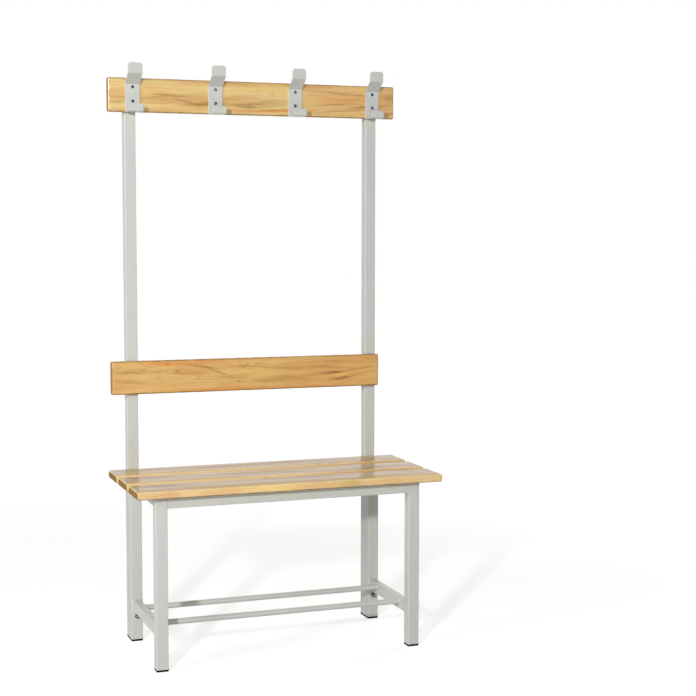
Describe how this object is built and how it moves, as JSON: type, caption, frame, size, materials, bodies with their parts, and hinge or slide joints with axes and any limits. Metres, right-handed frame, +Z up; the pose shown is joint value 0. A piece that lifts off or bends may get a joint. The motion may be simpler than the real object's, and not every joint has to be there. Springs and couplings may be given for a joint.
{
  "type": "changing room bench with coat rack",
  "caption": "Free-standing changing room bench: slatted wooden seat, round shoe bars, backrest and a raised coat rack board with double hooks on a square steel tube frame.",
  "frame": {"origin": "on the floor, under the middle of the whole object's box", "axes": "+Z up; +X along the bench, to the right as seen from the front; +Y from the front to the back, so the front faces -Y"},
  "size_m": [0.8, 0.3892, 1.5095],
  "materials": {
    "painted_steel": "satin powder coat",
    "varnished_pine": "clear gloss varnish",
    "black_plastic": "moulded",
    "zinc_steel": "zinc plated"
  },
  "bodies": {
    "root": {"seat_slat_front": "varnished_pine", "seat_slat_middle": "varnished_pine", "seat_slat_rear": "varnished_pine", "backrest_board": "varnished_pine", "rack_board": "varnished_pine", "front_leg_left": "painted_steel", "front_leg_right": "painted_steel", "rear_leg_left": "painted_steel", "rear_leg_right": "painted_steel", "upright_left": "painted_steel", "upright_right": "painted_steel", "front_rail": "painted_steel", "rear_rail": "painted_steel", "side_rail_left": "painted_steel", "side_rail_right": "painted_steel", "stretcher_left": "painted_steel", "stretcher_right": "painted_steel", "shoe_bar_front": "painted_steel", "shoe_bar_rear": "painted_steel", "coat_hook_1": "painted_steel", "coat_hook_2": "painted_steel", "coat_hook_3": "painted_steel", "coat_hook_4": "painted_steel", "foot_front_left": "black_plastic", "foot_front_right": "black_plastic", "foot_rear_left": "black_plastic", "foot_rear_right": "black_plastic", "foot_upright_left": "black_plastic", "foot_upright_right": "black_plastic", "upright_cap_left": "black_plastic", "upright_cap_right": "black_plastic", "hook_screws": "zinc_steel", "slat_screws": "zinc_steel", "backrest_screws": "zinc_steel", "rack_screws": "zinc_steel", "lower_bolts": "zinc_steel", "upper_bolts": "zinc_steel", "bolt_washers": "zinc_steel", "dome_nuts": "zinc_steel", "weld_nuts": "zinc_steel"}
  },
  "joints": []
}
